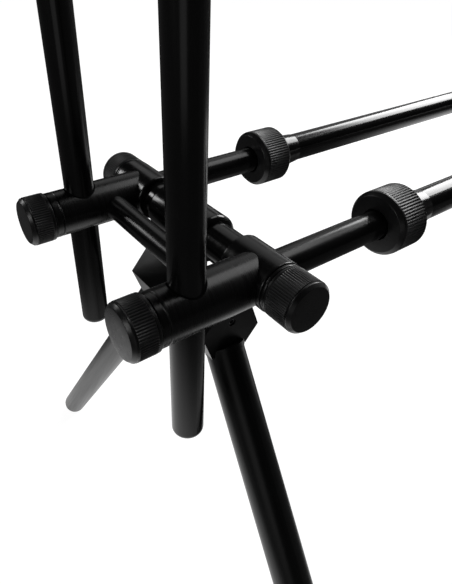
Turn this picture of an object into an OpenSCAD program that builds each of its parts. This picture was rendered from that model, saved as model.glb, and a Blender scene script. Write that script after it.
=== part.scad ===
// Rod pod: two telescopic main bars, a leg assembly and two clamped uprights at each end.
// Z is up and the feet stand on Z = 0. The bars run along Y, the front end is at -Y.
// Each end is drawn once, around its own cross axle, and mirrored to the other end.

/* [Main bars] */
// Distance between the two cross axles
bar_span = 1000; // [900:10:1300]
// Distance between the centre lines of the two bars
bar_spacing = 126; // [118:1:160]
// Outer diameter of the inner bars
inner_bar_d = 19; // [16:0.5:20]
// Wall of the inner bars
inner_bar_wall = 2; // [1.5:0.1:3]
// Wall of the outer tubes
outer_tube_wall = 1.42; // [1:0.02:2]
// Clear space between the ends of the two inner bars of one tube
inner_bar_gap = 40; // [40:1:160]

/* [Twist locks] */
// Distance from the cross axle to the front face of the collar
collar_offset = 95.8; // [90:0.2:130]
// Length of the collar
collar_len = 26.2; // [24:0.2:40]
// Outer diameter of the collar
collar_d = 43; // [39:0.5:48]
// Thickness of the collar's front wall
collar_wall = 5; // [4:0.5:8]
// Chamfer on the collar's edges
collar_chamfer = 2.4; // [1:0.1:3]
// Length of the split collet inside the collar
collet_len = 11; // [8:0.5:13]
// Wall of the collet at its thick end
collet_wall = 3.6; // [3:0.1:3.7]
// Wall of the collet at its thin end
collet_tip_wall = 1.2; // [0.8:0.1:1.4]
// Length of the collet's thick end, which the collar presses on
collet_rim = 3; // [2:0.5:4]
// Wall of the ferrule inside the collar
ferrule_wall = 2.45; // [2.4:0.05:4]
// Wall of the ferrule's tail where it leaves the collar
ferrule_tail_wall = 2.4; // [0.9:0.1:2.4]
// Wall of the ferrule's tail at its far end
ferrule_tip_wall = 0.4; // [0.3:0.1:0.8]
// Length of the ferrule's tail behind the collar
ferrule_tail = 19; // [15:1:40]

/* [Cross axle and blocks] */
// Diameter of the cross axle
axle_d = 10; // [8:0.5:11]
// Diameter of the cross blocks
cross_block_d = 31; // [29:0.5:34]
// Length of a cross block from the bar's centre line inwards
cross_block_in = 18.3; // [15:0.1:20]
// Length of a cross block from the bar's centre line outwards
cross_block_out = 16.6; // [15:0.1:20]
// Diameter of the upright blocks
upright_block_d = 29.5; // [27.5:0.5:31]
// Distance from the cross axle to the uprights
upright_offset = 48.7; // [46:0.1:56]
// Metal in front of each upright, which holds the clamp screw
clamp_wall = 8.3; // [7:0.1:12]
// Diameter of the cross tube between the upright blocks
cross_tube_d = 15.2; // [12:0.2:16]
// Wall of the cross tube
cross_tube_wall = 2; // [1:0.1:3]
// Metal between the cross tube and the upright
cross_tube_land = 1.9; // [1.5:0.1:4]
// Depth of the cross tube's seat in each upright block
cross_tube_seat = 7.75; // [5:0.25:10]
// Metal between the cross tube and the end of the inner bar
bar_tail_land = 1.6; // [1:0.1:2.4]

/* [Uprights] */
// Diameter of the uprights
upright_d = 19; // [16:0.5:20]
// Length of the uprights
upright_len = 400; // [260:5:600]
// How far the uprights reach below the cross axle
upright_drop = 94.5; // [60:0.5:180]
// Rounding of the upright's lower end
upright_round = 4; // [2:0.5:6]
// Rounding of the upright's top edge
upright_top_round = 1.2; // [0.5:0.1:3]
// Diameter of the tapped hole in the upright's top
socket_d = 8.3; // [6:0.1:10]
// Depth of the tapped hole
socket_depth = 16; // [10:1:30]

/* [Knobs] */
// Diameter of the clamp knobs
clamp_knob_d = 31.5; // [28:0.5:36]
// Length of the clamp knobs
clamp_knob_len = 15.6; // [13:0.2:22]
// Diameter of the hub knobs
hub_knob_d = 30.6; // [28:0.2:36]
// Length of the hub knobs
hub_knob_len = 19.6; // [16:0.2:24]
// Chamfer on the face of a knob
knob_chamfer = 2; // [1:0.1:3]
// Chamfer on the back edge of a knob
knob_back_chamfer = 0.8; // [0.4:0.1:1.5]
// Metal left between a knob's face and the end of its hole
knob_floor = 5; // [3:0.5:8]
// Thickness of the washer under a clamp knob
clamp_washer_t = 5; // [2:0.1:7]
// Thickness of the washer under a hub knob
hub_knob_washer_t = 2.2; // [1.8:0.1:5]
// Diameter of the washer under a hub knob
hub_knob_washer_d = 30; // [24:0.5:31]
// Diameter of the clamp screw
clamp_screw_d = 8; // [6:0.5:9]
// Thickness of the pad between the clamp screw and the upright
clamp_pad_t = 2.1; // [1.5:0.1:3]

/* [Leg hub] */
// Diameter of the leg hub
hub_d = 31.3; // [29:0.1:34]
// Distance from the middle to the left end of the leg hub
hub_left = 34; // [28:0.5:38]
// Distance from the middle to the right end of the leg hub
hub_right = 21; // [18:0.5:38]
// Rounding of the hub's ends
hub_round = 3; // [1:0.5:5]
// Diameter of the spacers beside the hub
hub_spacer_d = 24; // [18:0.5:28]
// Diameter of the stem under the hub
stem_d = 18; // [16:0.5:24]
// Distance from the cross axle to the middle of the leg bar
leg_bar_drop = 54.3; // [52:0.1:60]
// Leg bar's width across its flats
leg_bar_flats = 38.6; // [37:0.1:40]
// Length of the leg bar
leg_bar_len = 88.5; // [84:0.5:92]
// Turn of the leg bar about its own length, away from the middle of the pod
leg_bar_turn = 7; // [0:0.5:8]
// Diameter of the bolt that holds the leg bar to the stem
stem_bolt_d = 8; // [6:0.5:10]
// Diameter of the leg lock screws
lock_screw_d = 5; // [4:0.5:6]
// How far the lock screws are sunk into the ends of the leg bar
lock_screw_sink = 1; // [0.5:0.1:3]
// How far the lock screws sit above the middle of the leg bar
lock_screw_rise = 7; // [4:0.5:8]

/* [Legs] */
// Outward splay of each leg
leg_splay = 34; // [28:0.25:36]
// Lean of the leg assembly away from the middle of the pod
leg_lean = 3; // [0:0.5:5]
// How far below the axle the two leg centre lines meet
leg_apex = 13.5; // [10:0.5:15]
// Diameter of the legs
leg_d = 25.6; // [22:0.2:28]
// Wall of the legs
leg_wall = 2; // [1.2:0.1:3]
// Length of each leg tube
leg_len = 384; // [280:1:700]
// How far the ring on top of a leg stands out
leg_ring = 0.4; // [0.3:0.1:1.5]
// Thickness of the ring on top of a leg
leg_ring_t = 3; // [2:0.5:6]
// Length of the plug inside a leg
leg_plug_len = 20; // [10:1:40]
// Diameter of the stud above the ring
leg_stud_d = 12; // [8:0.5:12]
// Length of the stud above the ring
leg_stud_len = 30; // [28:0.5:31]
// How far the leg's seat lies above the leg bar's lower flat
leg_seat_rise = 3.75; // [2:0.05:5]
// Diameter of the ball of the rubber feet
foot_d = 15.6; // [14:0.2:20]
// Length of the foot's plug inside the leg
foot_plug = 16; // [10:1:40]
// Thickness of the foot's flange, which the leg stands on
foot_flange_t = 2; // [1.5:0.1:2.5]
// Distance from the end of the leg to the middle of the foot's ball
foot_tip = 4; // [3.5:0.5:8]
// Depth of the flat on the foot where it stands
foot_flat = 1; // [0.5:0.1:2]

/* [Clearances] */
// Running clearance round turning and sliding shafts
run_fit = 0.05; // [0.02:0.01:0.1]
// Clearance of pieces that are fixed together
seat_fit = 0.1; // [0.05:0.01:0.2]
// Clearance beside faces that turn against each other
face_gap = 0.2; // [0.1:0.05:0.4]
// Clearance between the telescopic tubes
slide_gap = 0.08; // [0.05:0.01:0.2]
// Clearance where a bar passes through a collar
pass_gap = 0.4; // [0.3:0.05:0.8]

/* [Hidden] */
$fn = 64;
front = 1;
rear = -1;
left = -1;
right = 1;
sides = [left, right];
ends = [front, rear];
// How far a cutter runs past the face that it cuts
over = 1;
// Small edge rounding of turned blocks
edge = 0.8;
// Inner edge rounding of the cross blocks
block_round = 1.5;

// Places along the cross axle, measured from the middle
bar_x = bar_spacing / 2;
block_inner = bar_x - cross_block_in;
block_outer = bar_x + cross_block_out;
cross_block_len = cross_block_in + cross_block_out;
hub_knob_x = block_outer + hub_knob_washer_t + face_gap;
axle_end = hub_knob_x + hub_knob_len - knob_floor - face_gap;

// Places along the bars, measured from the cross axle towards the middle of the pod
cross_tube_y = -(upright_offset - upright_d / 2 - cross_tube_land - cross_tube_d / 2);
bar_tail = cross_tube_y + cross_tube_d / 2 + bar_tail_land;
block_front = -(upright_offset + upright_d / 2 + clamp_wall);
clamp_knob_y = block_front - clamp_washer_t - face_gap;
clamp_screw_back = clamp_knob_y - clamp_knob_len + knob_floor;
clamp_pad_y = -(upright_offset + upright_d / 2) - face_gap;
collet_y = collar_offset + collar_wall + face_gap;
tube_y = collet_y + collet_len + face_gap;
ferrule_y = collet_y + collet_rim + face_gap;
collar_back = collar_offset + collar_len;
inner_bar_end = bar_span / 2 - inner_bar_gap / 2;

// Radii of the telescopic bars and their locks
inner_bar_r = inner_bar_d / 2;
tube_r = inner_bar_r + slide_gap + outer_tube_wall;
ferrule_bore_r = tube_r + run_fit;
ferrule_r = ferrule_bore_r + ferrule_wall;
collet_bore_r = inner_bar_r + slide_gap;
collet_r = collet_bore_r + collet_wall;
collet_tip_r = collet_bore_r + collet_tip_wall;
collet_split = 1.5;

// Leg frame
hex_r = leg_bar_flats / 2 / cos(30);
leg_seat = (leg_bar_drop + leg_bar_flats / 2 - leg_seat_rise - leg_apex) / cos(leg_splay);
leg_ring_r = leg_d / 2 + leg_ring;
leg_top = leg_seat + leg_ring_t;
foot_ball = leg_top + leg_len + foot_tip;
axle_height = (leg_apex + foot_ball * cos(leg_splay)) * cos(leg_lean) + foot_d / 2 - foot_flat;
stud_x = (leg_bar_drop - lock_screw_rise - leg_apex) * tan(leg_splay);
lock_screw_tip = stud_x + leg_stud_d / 2 / cos(leg_splay) + lock_screw_d / 2 * tan(leg_splay) + face_gap;
lock_screw_x = leg_bar_len / 2 - lock_screw_sink;
bolt_head_r = 0.8 * stem_bolt_d;
bolt_head_t = stem_bolt_d;
bolt_seat = leg_bar_drop + leg_bar_flats / 2 - bolt_head_r * tan(leg_bar_turn) - bolt_head_t;
bolt_len = bolt_seat - hub_d / 2;
stem_len = leg_bar_drop - leg_bar_flats / 2 + stem_d / 2 * tan(leg_bar_turn);
key_share = 0.6;

black = "#1d1d1f";
satin = "#26262a";
steel = "#b9bcc0";
rubber = "#141414";
nylon = "#303033";

// Placing: the frame of one end has its origin on the cross axle and +Y towards the middle

module at_end(e) {
    if (e == front) {
        translate([0, -bar_span / 2, axle_height]) children();
    } else {
        translate([0, bar_span / 2, axle_height]) mirror([0, 1, 0]) children();
    }
}

// From a rod that stands on Z = 0 to one that starts at x and runs outwards on side s
module outwards(s, x) {
    translate([s * x, 0, 0]) rotate([0, s * 90, 0]) children();
}

// From a rod that stands on Z = 0 to one on a bar's centre line that starts at y and runs inwards
module inwards(s, y) {
    translate([s * bar_x, y, 0]) rotate([-90, 0, 0]) children();
}

// The same, but running away from the middle of the pod
module forwards(s, y) {
    translate([s * bar_x, y, 0]) rotate([90, 0, 0]) children();
}

module leaned() {
    rotate([-leg_lean, 0, 0]) children();
}

// The frame of one leg: origin where the leg centre lines meet, the leg runs along -Z
module leg_frame(s) {
    leaned() translate([0, 0, -leg_apex]) rotate([0, -s * leg_splay, 0]) children();
}

// Turned shapes, standing on Z = 0

module rod(r, len, low, high) {
    rotate_extrude() {
        square([r - low, len / 2]);
        translate([0, len / 2]) square([r - high, len / 2]);
        translate([0, low]) square([r, len - low - high]);
        translate([r - low, low]) circle(low);
        translate([r - high, len - high]) circle(high);
    }
}

module pipe(r, wall, len) {
    difference() {
        cylinder(r = r, h = len);
        translate([0, 0, -over]) cylinder(r = r - wall, h = len + 2 * over);
    }
}

module washer(r, hole_r, t) {
    difference() {
        rod(r, t, edge, edge);
        translate([0, 0, -over]) cylinder(r = hole_r, h = t + 2 * over);
    }
}

// A knob with its hole at Z = 0 and its face on top
module knob(r, len, hole_r) {
    difference() {
        rotate_extrude() {
            polygon([
                [0, 0], [r - knob_back_chamfer, 0], [r, knob_back_chamfer],
                [r, len - knob_chamfer], [r - knob_chamfer, len], [0, len]
            ]);
        }
        translate([0, 0, -over]) cylinder(r = hole_r, h = len - knob_floor + over);
    }
}

// A screw with a round head on Z = 0 and a hexagonal key socket, its shank running along -Z
module screw(d, len, head_r, head_t) {
    difference() {
        union() {
            rod(head_r, head_t, edge / 2, edge);
            translate([0, 0, -len]) cylinder(d = d, h = len + head_t / 2);
        }
        translate([0, 0, head_t * (1 - key_share)])
            cylinder(r = head_r * key_share, h = head_t, $fn = 6);
    }
}

// A grub screw with its key socket at Z = 0, running along -Z
module grub(d, len) {
    difference() {
        translate([0, 0, -len]) rod(d / 2, len, edge, edge / 2);
        translate([0, 0, -d / 2]) cylinder(d = d * key_share, h = d, $fn = 6);
    }
}

// Main bars

module outer_tube(s) {
    color(satin) translate([s * bar_x, -bar_span / 2 + tube_y, axle_height]) rotate([-90, 0, 0])
        pipe(tube_r, outer_tube_wall, bar_span - 2 * tube_y);
}

// A sleeve on the end of the outer tube, whose tapered mouth closes the collet
module ferrule() {
    mouth_r = collet_r - (collet_r - collet_tip_r) * face_gap / (collet_len - collet_rim) + seat_fit;
    throat_y = tube_y - ferrule_y;
    tail_y = collar_back - ferrule_y;
    tip_y = tail_y + ferrule_tail;
    rotate_extrude() {
        polygon([
            [mouth_r, 0], [ferrule_r, 0], [ferrule_r, tail_y],
            [ferrule_bore_r + ferrule_tail_wall, tail_y + over],
            [ferrule_bore_r + ferrule_tip_wall, tip_y],
            [ferrule_bore_r, tip_y], [ferrule_bore_r, throat_y]
        ]);
    }
}

module bar_ferrules() {
    color(black) for (e = ends, s = sides) at_end(e) inwards(s, ferrule_y) ferrule();
}

// A tapered sleeve with a slit, which the collar squeezes onto the inner bar
module collet() {
    difference() {
        rotate_extrude() {
            polygon([
                [collet_bore_r, 0], [collet_r, 0], [collet_r, collet_rim],
                [collet_tip_r, collet_len], [collet_bore_r, collet_len]
            ]);
        }
        translate([0, -collet_split / 2, -over]) cube([collet_r + over, collet_split, collet_len + 2 * over]);
    }
}

module bar_collets() {
    color(nylon) for (e = ends, s = sides) at_end(e) inwards(s, collet_y) collet();
}

module collar(e, s) {
    cavity_r = ferrule_r + run_fit;
    r = collar_d / 2;
    color(black) at_end(e) inwards(s, collar_offset) difference() {
        rotate_extrude() {
            polygon([
                [0, 0], [r - collar_chamfer, 0], [r, collar_chamfer],
                [r, collar_len - collar_chamfer], [r - collar_chamfer, collar_len], [0, collar_len]
            ]);
        }
        translate([0, 0, -over]) cylinder(r = inner_bar_r + pass_gap, h = collar_len + 2 * over);
        translate([0, 0, collar_wall]) cylinder(r = cavity_r, h = collar_len);
    }
}

// An inner bar passes through its cross block, where the axle crosses it, into the upright block
module inner_bar(e, s) {
    color(satin) at_end(e) difference() {
        inwards(s, bar_tail) pipe(inner_bar_r, inner_bar_wall, inner_bar_end - bar_tail);
        outwards(s, block_inner) cylinder(d = axle_d + 2 * seat_fit, h = cross_block_len);
    }
}

// Blocks at one end

module cross_block(e, s) {
    color(black) at_end(e) difference() {
        outwards(s, block_inner) rod(cross_block_d / 2, cross_block_len, block_round, edge);
        outwards(s, block_inner - over)
            cylinder(d = axle_d + 2 * seat_fit, h = cross_block_len + 2 * over);
        inwards(s, -cross_block_d) cylinder(r = inner_bar_r + seat_fit, h = 2 * cross_block_d);
    }
}

module cross_tube(e) {
    reach = bar_x - upright_block_d / 2 + cross_tube_seat;
    color(black) at_end(e) translate([-reach, cross_tube_y, 0]) rotate([0, 90, 0])
        pipe(cross_tube_d / 2, cross_tube_wall, 2 * reach);
}

// An upright block sits saddle-wise against its cross block
module upright_block(e, s) {
    seat_x = bar_x - upright_block_d / 2 + cross_tube_seat + seat_fit;
    color(black) at_end(e) difference() {
        forwards(s, 0) rod(upright_block_d / 2, -block_front, edge, edge);
        outwards(s, block_inner - over)
            cylinder(d = cross_block_d + 2 * seat_fit, h = cross_block_len + 2 * over);
        inwards(s, bar_tail - seat_fit) cylinder(r = inner_bar_r + seat_fit, h = -bar_tail + over);
        translate([s * bar_x, -upright_offset, -upright_block_d])
            cylinder(d = upright_d + 2 * run_fit, h = 2 * upright_block_d);
        forwards(s, -upright_offset)
            cylinder(d = clamp_screw_d + 2 * run_fit, h = -block_front - upright_offset + over);
        translate([0, cross_tube_y, 0]) outwards(s, 0)
            cylinder(d = cross_tube_d + 2 * seat_fit, h = seat_x);
    }
}

module axle(e) {
    color(steel) at_end(e) translate([-axle_end, 0, 0]) rotate([0, 90, 0])
        rod(axle_d / 2, 2 * axle_end, edge, edge);
}

module knob_washers(e) {
    color(black) at_end(e) for (s = sides) {
        forwards(s, block_front)
            washer(upright_block_d / 2, clamp_screw_d / 2 + pass_gap, clamp_washer_t);
        outwards(s, block_outer)
            washer(hub_knob_washer_d / 2, axle_d / 2 + pass_gap, hub_knob_washer_t);
    }
}

module hub_spacers(e) {
    color(black) at_end(e) for (s = sides) {
        start = (s == left ? hub_left : hub_right) + face_gap;
        outwards(s, start) washer(hub_spacer_d / 2, axle_d / 2 + seat_fit, block_inner - start);
    }
}

module clamp_pads(e) {
    color(nylon) at_end(e) for (s = sides) {
        forwards(s, clamp_pad_y) cylinder(d = clamp_screw_d - 2 * seat_fit, h = clamp_pad_t);
    }
}

// Knobs

module clamp_knob(e, s) {
    color(black) at_end(e) forwards(s, clamp_knob_y)
        knob(clamp_knob_d / 2, clamp_knob_len, clamp_screw_d / 2 + seat_fit);
}

module clamp_screw(e, s) {
    tip_y = clamp_pad_y - clamp_pad_t - face_gap;
    color(steel) at_end(e) forwards(s, tip_y)
        rod(clamp_screw_d / 2, tip_y - clamp_screw_back, edge, edge);
}

module hub_knob(e, s) {
    color(black) at_end(e) outwards(s, hub_knob_x)
        knob(hub_knob_d / 2, hub_knob_len, axle_d / 2 + run_fit);
}

module upright(e, s) {
    color(satin) at_end(e) translate([s * bar_x, -upright_offset, -upright_drop]) difference() {
        rod(upright_d / 2, upright_len, upright_round, upright_top_round);
        translate([0, 0, upright_len - socket_depth]) cylinder(d = socket_d, h = socket_depth + over);
    }
}

// Leg assembly, which turns about the cross axle

module leg_hub(e) {
    hub_len = hub_left + hub_right;
    color(black) at_end(e) leaned() difference() {
        union() {
            translate([-hub_left, 0, 0]) rotate([0, 90, 0]) rod(hub_d / 2, hub_len, hub_round, hub_round);
            translate([0, 0, -stem_len]) cylinder(d = stem_d, h = stem_len);
        }
        translate([-hub_left - over, 0, 0]) rotate([0, 90, 0])
            cylinder(d = axle_d + 2 * run_fit, h = hub_len + 2 * over);
        translate([0, 0, -stem_len - over])
            cylinder(d = stem_bolt_d + 2 * seat_fit, h = stem_len - hub_d / 2 + 2 * over);
    }
}

module leg_bar(e) {
    color(black) at_end(e) difference() {
        leaned() translate([0, 0, -leg_bar_drop]) rotate([-leg_bar_turn, 0, 0])
            translate([-leg_bar_len / 2, 0, 0]) rotate([0, 90, 0]) rotate([0, 0, 30])
                cylinder(r = hex_r, h = leg_bar_len, $fn = 6);
        leaned() {
            translate([0, 0, -stem_len]) cylinder(d = stem_d + 2 * pass_gap, h = leg_bar_flats);
            translate([0, 0, -bolt_seat - over])
                cylinder(d = stem_bolt_d + 2 * seat_fit, h = leg_bar_flats);
            translate([0, 0, -bolt_seat - leg_bar_flats])
                cylinder(r = bolt_head_r + seat_fit, h = leg_bar_flats);
        }
        for (s = sides) {
            leg_frame(s) translate([0, 0, -leg_seat - leg_bar_len]) rotate([0, 0, 90])
                cylinder(r = leg_ring_r + pass_gap, h = leg_bar_len);
            leg_frame(s) translate([0, 0, -leg_seat - over]) rotate([0, 0, 90])
                cylinder(d = leg_stud_d + 2 * seat_fit, h = leg_stud_len + seat_fit + over);
            leaned() translate([0, 0, lock_screw_rise - leg_bar_drop]) outwards(s, stud_x)
                cylinder(d = lock_screw_d + 2 * seat_fit, h = leg_bar_len);
        }
    }
}

// The two lock screws press on the leg studs, and the bolt holds the leg bar to the stem
module leg_screws(e) {
    color(steel) at_end(e) leaned() {
        for (s = sides) {
            translate([0, 0, lock_screw_rise - leg_bar_drop]) outwards(s, lock_screw_x)
                grub(lock_screw_d, lock_screw_x - lock_screw_tip);
        }
        translate([0, 0, -bolt_seat]) rotate([180, 0, 0])
            screw(stem_bolt_d, bolt_len, bolt_head_r, bolt_head_t);
    }
}

// A ring with a plug for the leg below it and a stud for the leg bar above it
module leg_studs(e) {
    color(steel) at_end(e) for (s = sides) leg_frame(s) translate([0, 0, -leg_seat]) {
        translate([0, 0, -leg_ring_t]) cylinder(r = leg_ring_r, h = leg_ring_t);
        translate([0, 0, -leg_ring_t / 2]) cylinder(d = leg_stud_d, h = leg_ring_t / 2 + leg_stud_len);
        translate([0, 0, -leg_ring_t - leg_plug_len])
            cylinder(r = leg_d / 2 - leg_wall - seat_fit, h = leg_plug_len + leg_ring_t / 2);
    }
}

module leg(e, s) {
    color(satin) at_end(e) leg_frame(s) translate([0, 0, -leg_top - leg_len])
        pipe(leg_d / 2, leg_wall, leg_len);
}

// A ball on a flange, with a plug in the end of the leg
module foot() {
    leg_end = foot_tip - foot_ball;
    translate([0, 0, -foot_ball]) sphere(d = foot_d);
    translate([0, 0, -foot_ball]) cylinder(d = foot_d, h = foot_tip);
    translate([0, 0, leg_end - foot_flange_t]) cylinder(r = (leg_d - leg_wall) / 2, h = foot_flange_t);
    translate([0, 0, leg_end - foot_flange_t / 2])
        cylinder(r = leg_d / 2 - leg_wall - seat_fit, h = foot_plug + foot_flange_t / 2);
}

module leg_feet(e) {
    ground = 2 * bar_span;
    color(rubber) difference() {
        at_end(e) for (s = sides) leg_frame(s) foot();
        translate([-ground / 2, -ground / 2, -ground]) cube(ground);
    }
}

outer_tube(left);  // left_outer_tube
outer_tube(right);  // right_outer_tube
bar_ferrules();
bar_collets();

inner_bar(front, left);  // front_left_inner_bar
inner_bar(front, right);  // front_right_inner_bar
collar(front, left);  // front_left_collar
collar(front, right);  // front_right_collar
cross_block(front, left);  // front_left_cross_block
cross_block(front, right);  // front_right_cross_block
upright_block(front, left);  // front_left_upright_block
upright_block(front, right);  // front_right_upright_block
cross_tube(front);  // front_cross_tube
axle(front);  // front_axle
knob_washers(front);  // front_knob_washers
hub_spacers(front);  // front_hub_spacers
clamp_pads(front);  // front_clamp_pads
clamp_knob(front, left);  // front_left_clamp_knob
clamp_knob(front, right);  // front_right_clamp_knob
clamp_screw(front, left);  // front_left_clamp_screw
clamp_screw(front, right);  // front_right_clamp_screw
hub_knob(front, left);  // front_left_hub_knob
hub_knob(front, right);  // front_right_hub_knob
upright(front, left);  // front_left_upright
upright(front, right);  // front_right_upright
leg_hub(front);  // front_leg_hub
leg_bar(front);  // front_leg_bar
leg_screws(front);  // front_leg_screws
leg_studs(front);  // front_leg_studs
leg(front, left);  // front_left_leg
leg(front, right);  // front_right_leg
leg_feet(front);  // front_leg_feet

inner_bar(rear, left);  // rear_left_inner_bar
inner_bar(rear, right);  // rear_right_inner_bar
collar(rear, left);  // rear_left_collar
collar(rear, right);  // rear_right_collar
cross_block(rear, left);  // rear_left_cross_block
cross_block(rear, right);  // rear_right_cross_block
upright_block(rear, left);  // rear_left_upright_block
upright_block(rear, right);  // rear_right_upright_block
cross_tube(rear);  // rear_cross_tube
axle(rear);  // rear_axle
knob_washers(rear);  // rear_knob_washers
hub_spacers(rear);  // rear_hub_spacers
clamp_pads(rear);  // rear_clamp_pads
clamp_knob(rear, left);  // rear_left_clamp_knob
clamp_knob(rear, right);  // rear_right_clamp_knob
clamp_screw(rear, left);  // rear_left_clamp_screw
clamp_screw(rear, right);  // rear_right_clamp_screw
hub_knob(rear, left);  // rear_left_hub_knob
hub_knob(rear, right);  // rear_right_hub_knob
upright(rear, left);  // rear_left_upright
upright(rear, right);  // rear_right_upright
leg_hub(rear);  // rear_leg_hub
leg_bar(rear);  // rear_leg_bar
leg_screws(rear);  // rear_leg_screws
leg_studs(rear);  // rear_leg_studs
leg(rear, left);  // rear_left_leg
leg(rear, right);  // rear_right_leg
leg_feet(rear);  // rear_leg_feet
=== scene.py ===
import math

import bmesh
import bpy
from mathutils import Matrix, Vector


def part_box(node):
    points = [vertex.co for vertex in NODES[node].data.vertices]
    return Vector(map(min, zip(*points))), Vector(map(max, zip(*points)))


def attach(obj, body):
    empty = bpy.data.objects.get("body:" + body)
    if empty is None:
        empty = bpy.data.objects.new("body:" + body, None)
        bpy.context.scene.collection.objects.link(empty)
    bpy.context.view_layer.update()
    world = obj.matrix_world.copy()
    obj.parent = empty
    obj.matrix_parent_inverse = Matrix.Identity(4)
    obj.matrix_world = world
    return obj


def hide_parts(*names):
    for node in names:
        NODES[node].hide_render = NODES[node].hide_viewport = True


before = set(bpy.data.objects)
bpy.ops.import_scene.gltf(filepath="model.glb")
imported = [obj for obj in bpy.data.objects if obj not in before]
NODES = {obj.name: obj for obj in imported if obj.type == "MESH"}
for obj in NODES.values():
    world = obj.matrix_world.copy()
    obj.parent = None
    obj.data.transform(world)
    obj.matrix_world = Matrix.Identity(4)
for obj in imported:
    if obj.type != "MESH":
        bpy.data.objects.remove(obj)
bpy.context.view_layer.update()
ENDS = ("front", "rear")
SIDES = ("left", "right")
OUTWARD = {"front": -1, "rear": 1}
SIDEWAYS = {"left": -1, "right": 1}
MM = 0.001


# Shader nodes

def calc(tree, operation, first, second=None, third=None):
    """A math node on sockets or plain numbers."""
    made = tree.nodes.new("ShaderNodeMath")
    made.operation = operation
    for socket, value in zip(made.inputs, (first, second, third)):
        if isinstance(value, bpy.types.NodeSocket):
            tree.links.new(value, socket)
        elif value is not None:
            socket.default_value = value
    return made.outputs[0]


def fade(tree, value, near, far, low, high):
    """A smooth step from near to far as a value runs from low to high."""
    step = tree.nodes.new("ShaderNodeMapRange")
    step.interpolation_type = "SMOOTHSTEP"
    for name, number in (("From Min", low), ("From Max", high), ("To Min", near), ("To Max", far)):
        step.inputs[name].default_value = number
    tree.links.new(value, step.inputs["Value"])
    return step.outputs[0]


class Shader:
    """A Principled material that is built up node by node."""

    def __init__(self, name):
        self.material = bpy.data.materials.new(name)
        self.material.use_nodes = True
        self.tree = self.material.node_tree
        self.bsdf = self.tree.nodes["Principled BSDF"]
        self.coord = self.tree.nodes.new("ShaderNodeTexCoord")

    def node(self, kind, **values):
        made = self.tree.nodes.new(kind)
        for name, value in values.items():
            setattr(made, name, value)
        return made

    def link(self, source, target):
        self.tree.links.new(source, target)

    def mapped(self, vector, socket, value):
        """A vector turned or scaled by a mapping node."""
        mapping = self.node("ShaderNodeMapping")
        mapping.inputs[socket].default_value = value
        self.link(vector, mapping.inputs["Vector"])
        return mapping.outputs["Vector"]

    def noise(self, scale, detail, stretch=None, turn=None):
        """Noise in object space, features per metre, drawn out along an axis by stretch."""
        noise = self.node("ShaderNodeTexNoise")
        noise.inputs["Scale"].default_value = scale
        noise.inputs["Detail"].default_value = detail
        vector = self.coord.outputs["Object"]
        if turn:
            vector = self.mapped(vector, "Rotation", turn)
        if stretch:
            vector = self.mapped(vector, "Scale", stretch)
        self.link(vector, noise.inputs["Vector"])
        return noise.outputs["Fac"]

    def ramp(self, source, low, high, start=0.3, end=0.7):
        """Colours or grey values from low to high over the middle of a noise."""
        ramp = self.node("ShaderNodeValToRGB")
        stops = ramp.color_ramp.elements
        stops[0].position, stops[1].position = start, end
        for stop, value in zip(stops, (low, high)):
            stop.color = (*value, 1) if isinstance(value, tuple) else (value, value, value, 1)
        self.link(source, ramp.inputs["Fac"])
        return ramp.outputs["Color"]

    def bump(self, source, strength, distance, under=None):
        bump = self.node("ShaderNodeBump")
        bump.inputs["Strength"].default_value = strength
        bump.inputs["Distance"].default_value = distance
        self.link(source, bump.inputs["Height"])
        if under:
            self.link(under, bump.inputs["Normal"])
        return bump.outputs["Normal"]

    def painted_gap_shade(self, centre, radius, width, shine=0.5):
        """Painted shade: no shine in a narrow ring round an upright hole, standing in for the shadow in the
        gap at its mouth.
        """
        flat = self.node("ShaderNodeVectorMath", operation="MULTIPLY")
        flat.inputs[1].default_value = (1, 1, 0)
        self.link(self.coord.outputs["Object"], flat.inputs[0])
        reach = self.node("ShaderNodeVectorMath", operation="DISTANCE")
        reach.inputs[1].default_value = (centre.x, centre.y, 0)
        self.link(flat.outputs["Vector"], reach.inputs[0])
        level = fade(self.tree, reach.outputs["Value"], 0, shine, radius, radius + width)
        self.link(level, self.bsdf.inputs["Specular IOR Level"])

    def finish(self, colour, rough, normal, **constants):
        for socket, source in (("Base Color", colour), ("Roughness", rough), ("Normal", normal)):
            self.link(source, self.bsdf.inputs[socket])
        for name, value in constants.items():
            self.bsdf.inputs[name].default_value = value
        return self.material


# Materials

def anodised(name, rough, stretch=None, turn=None, dark=0.003, light=0.0048, hole=None):
    """Satin black anodising: a dark dyed skin with faint drawing or turning lines."""
    s = Shader(name)
    cloud = s.noise(scale=60, detail=4)
    grain = s.noise(scale=5200, detail=2)
    lines = s.noise(2600, 2, stretch, turn)
    colour = s.ramp(cloud, (dark, dark, dark * 1.04), (light, light, light * 1.03))
    roughness = s.ramp(s.noise(420, 5, stretch, turn), rough - 0.035, rough + 0.045)
    normal = s.bump(grain, strength=0.05, distance=0.06 * MM)
    normal = s.bump(lines, strength=0.025, distance=0.08 * MM, under=normal)
    # A ring of painted shade round an upright's hole, when one is given
    if hole:
        s.painted_gap_shade(*hole)
    return s.finish(colour, roughness, normal, IOR=1.4)


def metal(name, tint, rough, stretch):
    """Bare metal with turning lines."""
    s = Shader(name)
    lines = s.noise(2400, 3, stretch)
    tone = s.ramp(s.noise(scale=300, detail=4), tuple(0.9 * c for c in tint), tint)
    roughness = s.ramp(lines, rough - 0.05, rough + 0.08)
    return s.finish(tone, roughness, s.bump(lines, strength=0.12, distance=0.08 * MM), Metallic=1.0)


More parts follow.
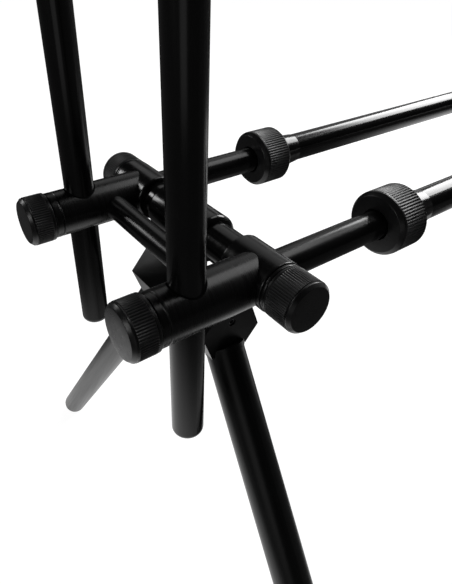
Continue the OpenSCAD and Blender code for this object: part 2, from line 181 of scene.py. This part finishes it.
def moulded(name, dark, light, rough, pit):
    """Moulded rubber or nylon with a fine pitted skin."""
    s = Shader(name)
    cloud = s.ramp(s.noise(scale=90, detail=5), (dark,) * 3, (light,) * 3)
    roughness = s.ramp(s.noise(scale=700, detail=3), rough - 0.06, rough + 0.06)
    skin = s.bump(s.noise(scale=3800, detail=3), pit, distance=0.15 * MM)
    return s.finish(cloud, roughness, skin, IOR=1.5)


# Fine lines that run along an axis, or round it
ALONG_X = (0.02, 1, 1)
ALONG_Y = (1, 0.02, 1)
ALONG_Z = (1, 1, 0.02)
ROUND_X = (1, 0.03, 0.03)
ROUND_Y = (0.03, 1, 0.03)
LEG_SPLAY = math.radians(34)
BLOCK_ROUGH = 0.27

BAR = anodised("bar_black", 0.22, ALONG_Y)
TUBE = anodised("tube_black", 0.16, ALONG_Y)
CROSS = anodised("cross_black", 0.24, ALONG_X)
UPRIGHT = anodised("upright_black", 0.2, ALONG_Z)
BLOCK_X = anodised("block_x_black", 0.22, ROUND_X)
HUB = anodised("hub_black", 0.17, ROUND_X)
BLOCK_Y = anodised("block_y_black", BLOCK_ROUGH, ROUND_Y)
HEX = anodised("leg_bar_black", 0.33, ALONG_X)
LEG = {
    side: anodised(side + "_leg_black", 0.31, ALONG_Z, turn=(0, SIDEWAYS[side] * LEG_SPLAY, 0))
    for side in SIDES
}
KNURL = anodised("knurl_black", 0.45, dark=0.012, light=0.018)
FACE = anodised("face_black", 0.3, dark=0.008, light=0.012)
STEEL = metal("steel", (0.3, 0.3, 0.31), 0.3, ROUND_X)
RUBBER = moulded("rubber", 0.009, 0.016, 0.62, 0.25)
NYLON = moulded("nylon", 0.018, 0.026, 0.5, 0.15)


def upright_block_black(end, side):
    """The finish of an upright block, with a dull line of painted shade where its upright goes in."""
    low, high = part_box(f"{end}_{side}_upright")
    centre = NODES[f"{end}_{side}_upright_block"].matrix_world.inverted() @ ((low + high) / 2)
    # Painted shade in a ring from the upright's side out past the gap at the hole's mouth
    gap, width = 0.6 * MM, 0.4 * MM
    hole = (centre, (high.x - low.x) / 2 + gap, width)
    return anodised(f"{end}_{side}_block_black", BLOCK_ROUGH, ROUND_Y, hole=hole)


def paint(node, material):
    slots = NODES[node].data.materials
    slots.clear()
    slots.append(material)


for side in SIDES:
    paint(side + "_outer_tube", TUBE)
paint("bar_ferrules", TUBE)
paint("bar_collets", NYLON)
for end in ENDS:
    for name, material in (
        ("cross_tube", CROSS), ("axle", STEEL), ("knob_washers", BLOCK_Y), ("hub_spacers", HUB),
        ("clamp_pads", NYLON), ("leg_hub", HUB), ("leg_bar", HEX), ("leg_screws", STEEL),
        ("leg_studs", HEX), ("leg_feet", RUBBER),
    ):
        paint(f"{end}_{name}", material)
    for side in SIDES:
        for name, material in (
            ("inner_bar", BAR), ("cross_block", BLOCK_X), ("upright_block", upright_block_black(end, side)),
            ("upright", UPRIGHT), ("leg", LEG[side]), ("clamp_screw", STEEL),
        ):
            paint(f"{end}_{side}_{name}", material)


# Knurled pieces

RIDGE_STEPS = 8
KNOB_RIDGES = 64
COLLAR_RIDGES = 68
KNURL_DEPTH = 0.55 * MM
SHARP_ANGLE = math.radians(40)


def turned(name, profile, ridges):
    """A turned mesh about Z from (radius, height, knurl share) points, closed or ending on the axis."""
    mesh = bmesh.new()
    steps = ridges * RIDGE_STEPS
    rings = []
    for radius, height, share in profile:
        if radius == 0:
            rings.append([mesh.verts.new((0, 0, height))])
            continue
        ring = []
        for i in range(steps):
            turn = 2 * math.pi * i / steps
            ridge = abs(2 * ((i * ridges / steps) % 1) - 1)
            r = radius - KNURL_DEPTH * share * ridge ** 1.5
            ring.append(mesh.verts.new((r * math.cos(turn), r * math.sin(turn), height)))
        rings.append(ring)
    pairs = list(zip(rings, rings[1:]))
    if len(rings[0]) > 1 and len(rings[-1]) > 1:
        pairs.append((rings[-1], rings[0]))
    shares = [share for _, _, share in profile]
    for k, (low, high) in enumerate(pairs):
        plain_band = not shares[k] and not shares[(k + 1) % len(shares)]
        for i in range(steps):
            j = (i + 1) % steps
            corners = [low[i % len(low)], low[j % len(low)], high[j % len(high)], high[i % len(high)]]
            mesh.faces.new(list(dict.fromkeys(corners))).material_index = int(plain_band)
    bmesh.ops.recalc_face_normals(mesh, faces=mesh.faces)
    data = bpy.data.meshes.new(name)
    mesh.to_mesh(data)
    mesh.free()
    piece = bpy.data.objects.new(name, data)
    bpy.context.scene.collection.objects.link(piece)
    return piece


def smooth(piece):
    """Smooth shading with sharp edges above an angle."""
    for face in piece.data.polygons:
        face.use_smooth = True
    edges = bmesh.new()
    edges.from_mesh(piece.data)
    for edge in edges.edges:
        if len(edge.link_faces) == 2:
            edge.smooth = edge.calc_face_angle(0) < SHARP_ANGLE
    edges.to_mesh(piece.data)
    edges.free()


def plain(*points):
    """Profile points without knurl."""
    return [(radius, height, 0) for radius, height in points]


def rounded(corner, before, after, radius, steps=4):
    """Profile points of an arc that rounds a corner."""
    a = (Vector(before) - Vector(corner)).normalized()
    b = (Vector(after) - Vector(corner)).normalized()
    half = math.acos(max(-1, min(1, a.dot(b)))) / 2
    reach = radius / math.tan(half)
    centre = Vector(corner) + (a + b).normalized() * radius / math.sin(half)
    first, last = Vector(corner) + a * reach - centre, Vector(corner) + b * reach - centre
    return plain(*(centre + radius * first.slerp(last, i / steps) for i in range(steps + 1)))


def knurled(radius, low, high):
    """Profile points of a knurled band between two smooth lips."""
    run = 0.5 * MM
    return [(radius, low, 0), (radius, low + run, 1), (radius, high - run, 1), (radius, high, 0)]


def along(node, direction):
    """The frame of a turned node: Z along direction from its back face, and its length and radius."""
    low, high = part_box(node)
    middle, size = (low + high) / 2, high - low
    axis = Vector(direction)
    length = abs(axis.dot(size))
    radius = max(size[i] for i in range(3) if not axis[i]) / 2
    turn = axis.to_track_quat("Z", "Y").to_matrix().to_4x4()
    return Matrix.Translation(middle - axis * length / 2) @ turn, length, radius


def settle(piece, place, node):
    """Puts a knurled piece in the place of its plain CAD node."""
    smooth(piece)
    piece.data.transform(place)
    for material in (KNURL, FACE):
        piece.data.materials.append(material)
    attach(piece, node)
    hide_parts(node)


def knob(node, direction, hole_r):
    """A knob with a blind hole in its back, a groove at each end of the knurl and a bevelled face."""
    place, length, r = along(node, direction)
    hole_end = length - 5 * MM
    back_r, lip_r, groove_r, rim_r, face_r = (r - cut * MM for cut in (0.7, 0.1, 0.35, 0.2, 2.1))
    lip_edge, lip, groove_start, groove_end, knurl_start = (up * MM for up in (0.4, 1.5, 1.7, 2.0, 2.2))
    knurl_end, rim_groove, rim = (length - down * MM for down in (3.2, 3.0, 1.995))
    edge, face = (rim_r, rim), (face_r, length)
    profile = plain((0, hole_end), (hole_r, hole_end), (hole_r, 0), (back_r, 0))
    profile += rounded((lip_r, lip_edge), (back_r, 0), (lip_r, lip), 0.3 * MM)
    profile += plain((lip_r, lip), (groove_r, groove_start), (groove_r, groove_end))
    profile += knurled(r, knurl_start, knurl_end)
    profile += plain((groove_r, rim_groove))
    profile += rounded(edge, (groove_r, rim_groove), face, 0.7 * MM)
    profile += rounded(face, edge, (0, length), 0.5 * MM)
    profile += plain((face_r / 2, length), (0, length))
    settle(turned(node + "_knurled", profile, KNOB_RIDGES), place, node)


def collar(node, direction):
    """A collar with a bore for the inner bar, a cavity for the ferrule and a broad front bevel."""
    place, length, r = along(node, direction)
    bore_r, cavity_r, wall = 9.9 * MM, 13.55 * MM, 5 * MM
    lead = 0.6 * MM
    bevel_r, front_r, groove_r, rim_r, back_r = (r - cut * MM for cut in (2.6, 0.2, 0.35, 0.4, 2.0))
    front, shoulder = 2.6 * MM, 4.2 * MM
    knurl_end, groove, rim = (length - down * MM for down in (2.6, 2.4, 2.0))
    profile = plain((bore_r, wall), (bore_r, lead), (bore_r + lead, 0))
    profile += rounded((bevel_r, 0), (bore_r, 0), (front_r, front), 0.7 * MM)
    profile += rounded((front_r, front), (bevel_r, 0), (r, shoulder), 1.2 * MM)
    profile += knurled(r, shoulder, knurl_end)
    profile += plain((groove_r, groove))
    profile += rounded((rim_r, rim), (groove_r, knurl_end), (back_r, length), 0.5 * MM)
    profile += rounded((back_r, length), (rim_r, rim), (cavity_r, length), 0.6 * MM)
    profile += plain((cavity_r + lead, length), (cavity_r, length - lead), (cavity_r, wall))
    settle(turned(node + "_knurled", profile, COLLAR_RIDGES), place, node)


CLAMP_HOLE_R = 4.1 * MM
HUB_HOLE_R = 5.05 * MM
for end in ENDS:
    for side in SIDES:
        knob(f"{end}_{side}_clamp_knob", (0, OUTWARD[end], 0), CLAMP_HOLE_R)
        knob(f"{end}_{side}_hub_knob", (SIDEWAYS[side], 0, 0), HUB_HOLE_R)
        collar(f"{end}_{side}_collar", (0, -OUTWARD[end], 0))


# Broken edges on the leg bars

for end in ENDS:
    bar = NODES[f"{end}_leg_bar"]
    weld = bar.modifiers.new("weld", "WELD")
    weld.merge_threshold = 0.02 * MM
    bevel = bar.modifiers.new("edges", "BEVEL")
    bevel.width = 0.5 * MM
    bevel.segments = 2
    bevel.limit_method = "ANGLE"
    bevel.angle_limit = math.radians(35)


# Stage

# Floor: its reach and its place just under the feet, and how white its paper is
FLOOR_REACH = 9
FLOOR_DROP = 0.3 * MM
PAPER = 0.22
# Mirrored in the pod, the floor shows a painted pool of light off each end and painted shade away from the
# pools
POOL_Y = 0.65
POOL_ACROSS, POOL_SHIFT = 1.5, 0.03
POOL_OUTER, POOL_INNER = 1.8, 1.3
POOL_EDGE, POOL_END, POOL_DARK = 0.3, 0.75, 0.06
# The floor's own white, which is a little lower under the pod to keep its shadow
GLOW_NEAR, GLOW_FAR = 0.95, 1.0
GLOW_EDGE, GLOW_END = 0.7, 2.2
# Mirrored in the pod, the backdrop stands low behind it in a dark room
BACKDROP = Vector((-0.3, 1, 0)).normalized()
BACKDROP_WHITE, BACKDROP_EDGE, BACKDROP_FULL = 0.6, 0.7, 0.95
CEILING_WHITE, CEILING_EDGE, CEILING_END = 0.05, 0.05, 0.35
ROOM_LIGHT = 0.01


def ray_kinds(tree):
    """1 for camera rays, and 1 for glossy and transmitted ones."""
    rays = tree.nodes.new("ShaderNodeLightPath").outputs
    return rays["Is Camera Ray"], calc(tree, "MAXIMUM", rays["Is Glossy Ray"], rays["Is Transmission Ray"])


def white_for(tree, camera_rays, mirrored, share):
    """1 for camera rays, and a share of that for mirrored ones."""
    return calc(tree, "MAXIMUM", camera_rays, calc(tree, "MULTIPLY", mirrored, share))


def painted_light_pools(tree, spot):
    """Painted pools of light: 1 off both ends of the pod, fading to the dark share of painted shade away
    from them.
    """
    place = tree.nodes.new("ShaderNodeSeparateXYZ")
    tree.links.new(spot, place.inputs[0])
    across = calc(tree, "MULTIPLY_ADD", place.outputs["X"], POOL_ACROSS, POOL_SHIFT)
    out_y = calc(tree, "SUBTRACT", calc(tree, "ABSOLUTE", place.outputs["Y"]), POOL_Y)
    outer, inner = calc(tree, "MULTIPLY", out_y, POOL_OUTER), calc(tree, "MULTIPLY", out_y, -POOL_INNER)
    beyond = calc(tree, "MAXIMUM", outer, inner)
    away = calc(tree, "MULTIPLY_ADD", across, across, calc(tree, "MULTIPLY", beyond, beyond))
    return fade(tree, calc(tree, "SQRT", away), 1.0, POOL_DARK, POOL_EDGE, POOL_END)


def white_paper():
    """Paper that is white to the camera, takes shadows and is mirrored as painted pools of light with
    painted shade round them.
    """
    paper = bpy.data.materials.new("paper")
    paper.use_nodes = True
    tree = paper.node_tree
    tree.nodes.clear()
    out = tree.nodes.new("ShaderNodeOutputMaterial")
    diffuse = tree.nodes.new("ShaderNodeBsdfDiffuse")
    glow = tree.nodes.new("ShaderNodeEmission")
    both = tree.nodes.new("ShaderNodeAddShader")
    spot = tree.nodes.new("ShaderNodeNewGeometry").outputs["Position"]
    reach = tree.nodes.new("ShaderNodeVectorMath")
    reach.operation = "LENGTH"
    tree.links.new(spot, reach.inputs[0])
    level = fade(tree, reach.outputs["Value"], GLOW_NEAR, GLOW_FAR, GLOW_EDGE, GLOW_END)
    pools = painted_light_pools(tree, spot)
    camera_rays, mirrored = ray_kinds(tree)
    # Painted light and shade for mirrored rays: the glow shows only in the pools, and the paper's colour is
    # darkened away from them
    seen = white_for(tree, camera_rays, mirrored, pools)
    shade = calc(tree, "SUBTRACT", 1.0, calc(tree, "MULTIPLY", mirrored, calc(tree, "SUBTRACT", 1.0, pools)))
    tree.links.new(calc(tree, "MULTIPLY", seen, level), glow.inputs["Strength"])
    tree.links.new(calc(tree, "MULTIPLY", shade, PAPER), diffuse.inputs["Color"])
    tree.links.new(diffuse.outputs[0], both.inputs[0])
    tree.links.new(glow.outputs[0], both.inputs[1])
    tree.links.new(both.outputs[0], out.inputs["Surface"])
    return paper


def lay_floor():
    signs = ((-1, -1), (1, -1), (1, 1), (-1, 1))
    data = bpy.data.meshes.new("floor")
    data.from_pydata([(x * FLOOR_REACH, y * FLOOR_REACH, -FLOOR_DROP) for x, y in signs], [], [(0, 1, 2, 3)])
    data.materials.append(white_paper())
    piece = bpy.data.objects.new("floor", data)
    bpy.context.scene.collection.objects.link(piece)


def set_studio():
    """A world that is white to the camera and mirrored as a low backdrop in a dark room."""
    world = bpy.data.worlds.new("studio")
    world.use_nodes = True
    bpy.context.scene.world = world
    tree = world.node_tree
    background = tree.nodes["Background"]
    background.inputs["Color"].default_value = (1, 1, 1, 1)
    direction = tree.nodes.new("ShaderNodeTexCoord").outputs["Generated"]
    facing = tree.nodes.new("ShaderNodeVectorMath")
    facing.operation = "DOT_PRODUCT"
    facing.inputs[1].default_value = BACKDROP
    tree.links.new(direction, facing.inputs[0])
    height = tree.nodes.new("ShaderNodeSeparateXYZ")
    tree.links.new(direction, height.inputs[0])
    walls = fade(tree, facing.outputs["Value"], 0.0, BACKDROP_WHITE, BACKDROP_EDGE, BACKDROP_FULL)
    ceiling = fade(tree, height.outputs["Z"], 1.0, CEILING_WHITE, CEILING_EDGE, CEILING_END)
    camera_rays, mirrored = ray_kinds(tree)
    seen = white_for(tree, camera_rays, mirrored, calc(tree, "MULTIPLY", walls, ceiling))
    tree.links.new(calc(tree, "MAXIMUM", seen, ROOM_LIGHT), background.inputs["Strength"])


def softbox(name, place, aim, size, power):
    """A soft lamp of a size in metres and a power in watts."""
    data = bpy.data.lights.new(name, "AREA")
    data.shape = "RECTANGLE"
    data.size, data.size_y = size
    data.energy = power
    lamp = bpy.data.objects.new(name, data)
    lamp.location = place
    lamp.rotation_euler = (Vector(aim) - Vector(place)).to_track_quat("-Z", "Y").to_euler()
    bpy.context.scene.collection.objects.link(lamp)


lay_floor()
set_studio()

# Lamps, placed after the highlights in the photograph
NEAR_END = (0, -0.45, 0.4)
NEAR_BARS = (0.07, -0.34, 0.41)
softbox("back_box", (-0.33, 1.7, 1.61), NEAR_BARS, (1.51, 0.93), 53)
softbox("top_box", (0.0, 0.55, 2.15), NEAR_END, (1.2, 0.8), 9)
softbox("front_box", (1.25, -1.5, 0.35), NEAR_END, (0.8, 0.8), 0.8)
softbox("left_box", (-1.2, 0.45, 1.5), NEAR_END, (1.4, 1.0), 2.4)
softbox("side_box", (-1.48, -1.34, 1.06), NEAR_END, (0.35, 0.4), 4.5)
softbox("low_box", (0.25, -2.2, 0.95), NEAR_END, (0.7, 0.5), 5)

# Camera, fitted to the photograph: its place, its turn in degrees and its focal length in pixels
EYE = (0.234872, -0.662049, 0.565965)
EYE_TURN = (56.8981, -1.035, 54.1756)
FOCAL_PIXELS = 522.357
PICTURE_PIXELS = 584
camera_data = bpy.data.cameras.new("camera")
camera_data.sensor_width = 36
camera_data.lens = FOCAL_PIXELS * camera_data.sensor_width / PICTURE_PIXELS
camera_data.shift_x = 0.02741
camera_data.shift_y = -0.06699
camera_data.clip_start = 0.01
camera = bpy.data.objects.new("camera", camera_data)
camera.location = EYE
camera.rotation_euler = [math.radians(angle) for angle in EYE_TURN]
bpy.context.scene.collection.objects.link(camera)
bpy.context.scene.camera = camera
bpy.context.scene.view_settings.view_transform = "Standard"
